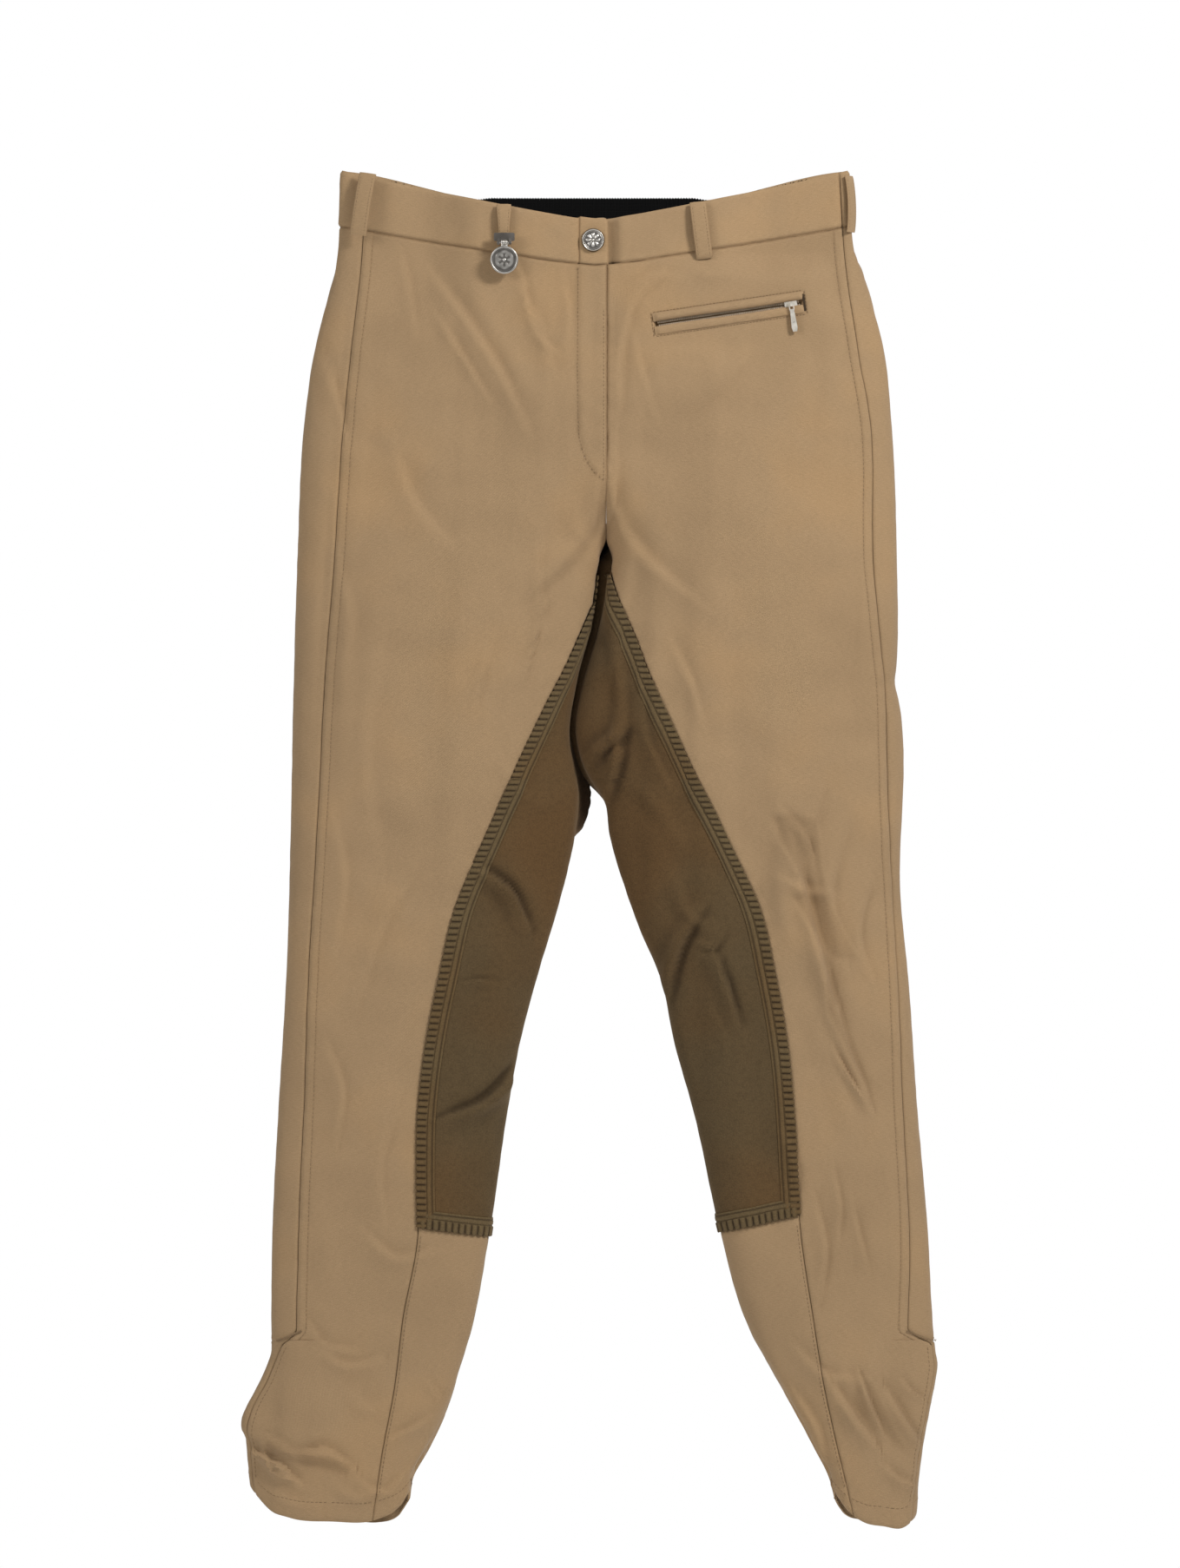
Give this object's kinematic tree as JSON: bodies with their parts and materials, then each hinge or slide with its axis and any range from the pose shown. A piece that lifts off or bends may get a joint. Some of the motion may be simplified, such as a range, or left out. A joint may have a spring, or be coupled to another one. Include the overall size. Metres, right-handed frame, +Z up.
{
  "type": "full-seat riding breeches",
  "caption": "Full-seat riding breeches, hanging open: twill panels, suede seat and leg patches, waistband with loops, fly, zipped hip pocket and ankle closures.",
  "frame": {"origin": "middle of the bounding box in plan, at the height of the lowest hem", "axes": "+Z up, front of the garment faces -Y, wearer's left is +X"},
  "size_m": [0.5014, 0.0731, 0.9833],
  "materials": {
    "twill": "matt stretch twill, tan",
    "suede": "napped suede, brown",
    "edging": "ribbed suede binding, olive brown",
    "elastic": "ribbed elastic webbing, black",
    "zip_tape": "woven zip tape, tan",
    "lining": "plain cotton, cream",
    "hook_and_loop": "hook and loop tape, tan",
    "zip_metal": "plated, satin",
    "aged_silver": "aged silver, darkened in the recesses"
  },
  "bodies": {
    "hips": {"front_hip_right": "twill", "back_yoke_right": "twill", "back_hip_right": "twill", "seat_patch_right": "suede", "front_hip_left": "twill", "back_yoke_left": "twill", "back_hip_left": "twill", "seat_patch_left": "suede", "waistband_front_right": "twill", "waistband_front_left": "twill", "waistband_back": "twill", "belt_loop_front_right": "twill", "belt_loop_front_left": "twill", "belt_loop_side_right": "twill", "belt_loop_side_left": "twill", "belt_loop_back": "twill", "fly_underlap": "twill", "pocket_welt": "twill", "waist_elastic": "elastic", "fly_zip_tape_right": "zip_tape", "fly_zip_tape_left": "zip_tape", "pocket_zip_tape_upper": "zip_tape", "pocket_zip_tape_lower": "zip_tape", "pocket_bag": "lining", "button_tack": "aged_silver", "charm_bracket": "aged_silver", "charm_pin": "aged_silver"},
    "thigh_right": {"front_thigh_right": "twill", "back_thigh_right": "twill", "patch_thigh_right": "suede", "edging_thigh_right": "edging"},
    "thigh_left": {"front_thigh_left": "twill", "back_thigh_left": "twill", "patch_thigh_left": "suede", "edging_thigh_left": "edging"},
    "shin_right": {"front_shin_right": "twill", "back_shin_right": "twill", "patch_knee_right": "suede", "edging_knee_right": "edging", "inner_calf_right": "twill", "loop_strip_right": "hook_and_loop", "ankle_underlap_right": "twill"},
    "shin_left": {"front_shin_left": "twill", "back_shin_left": "twill", "patch_knee_left": "suede", "edging_knee_left": "edging", "inner_calf_left": "twill", "loop_strip_left": "hook_and_loop", "ankle_underlap_left": "twill"},
    "ankle_flap_right": {"ankle_flap_right": "twill", "hook_strip_right": "hook_and_loop"},
    "ankle_flap_left": {"ankle_flap_left": "twill", "hook_strip_left": "hook_and_loop"},
    "fly_flap": {"fly_flap": "twill"},
    "fly_slider": {"fly_zip_slider": "zip_metal"},
    "fly_pull": {"fly_zip_pull": "zip_metal"},
    "waist_button": {"waist_button": "aged_silver"},
    "pocket_slider": {"pocket_zip_slider": "zip_metal"},
    "pocket_pull": {"pocket_zip_pull": "zip_metal"},
    "medallion": {"charm_medallion": "aged_silver"}
  },
  "joints": [
    {"name": "leg_swing_right", "type": "hinge", "parent": "hips", "child": "thigh_right", "pos_m": [-0.10677, -0.032, 0.655], "axis": [-1, 0, 0], "range_deg": [0, 60]},
    {"name": "leg_swing_left", "type": "hinge", "parent": "hips", "child": "thigh_left", "pos_m": [0.11182, -0.032, 0.655], "axis": [-1, 0, 0], "range_deg": [0, 60]},
    {"name": "knee_fold_right", "type": "hinge", "parent": "thigh_right", "child": "shin_right", "pos_m": [-0.12383, 0.027, 0.43], "axis": [1, 0, 0], "range_deg": [0, 90]},
    {"name": "knee_fold_left", "type": "hinge", "parent": "thigh_left", "child": "shin_left", "pos_m": [0.13387, 0.027, 0.43], "axis": [1, 0, 0], "range_deg": [0, 90]},
    {"name": "ankle_open_right", "type": "hinge", "parent": "shin_right", "child": "ankle_flap_right", "pos_m": [-0.198, -0.017, 0.08], "axis": [0, 0, 1], "range_deg": [0, 110]},
    {"name": "ankle_open_left", "type": "hinge", "parent": "shin_left", "child": "ankle_flap_left", "pos_m": [0.222, -0.01586, 0.08], "axis": [0, 0, -1], "range_deg": [0, 110]},
    {"name": "fly_open", "type": "hinge", "parent": "hips", "child": "fly_flap", "pos_m": [0.00278, -0.02737, 0.829], "axis": [0.111, -0.0526, -0.9924], "range_deg": [0, 70]},
    {"name": "fly_zip_slide", "type": "slide", "parent": "hips", "child": "fly_slider", "axis": [0, -0.0645, -0.9979], "range_m": [0, 0.124]},
    {"name": "fly_pull_swing", "type": "hinge", "parent": "fly_slider", "child": "fly_pull", "pos_m": [0.002, -0.01871, 0.89478], "axis": [-1, 0, 0], "range_deg": [0, 5]},
    {"name": "waist_button_turn", "type": "hinge", "parent": "hips", "child": "waist_button", "pos_m": [0.0025, -0.02182, 0.9315], "axis": [0, -1, 0], "continuous": true},
    {"name": "pocket_zip_slide", "type": "slide", "parent": "hips", "child": "pocket_slider", "axis": [-0.9868, -0.0633, -0.1489], "range_m": [0, 0.092]},
    {"name": "pocket_pull_swing", "type": "hinge", "parent": "pocket_slider", "child": "pocket_pull", "pos_m": [0.1458, -0.02213, 0.88523], "axis": [-0.9868, -0.0633, -0.1489], "range_deg": [0, 120]},
    {"name": "medallion_swing", "type": "hinge", "parent": "hips", "child": "medallion", "pos_m": [-0.0617, -0.03146, 0.9294], "axis": [-1, 0, 0], "range_deg": [0, 75]}
  ]
}
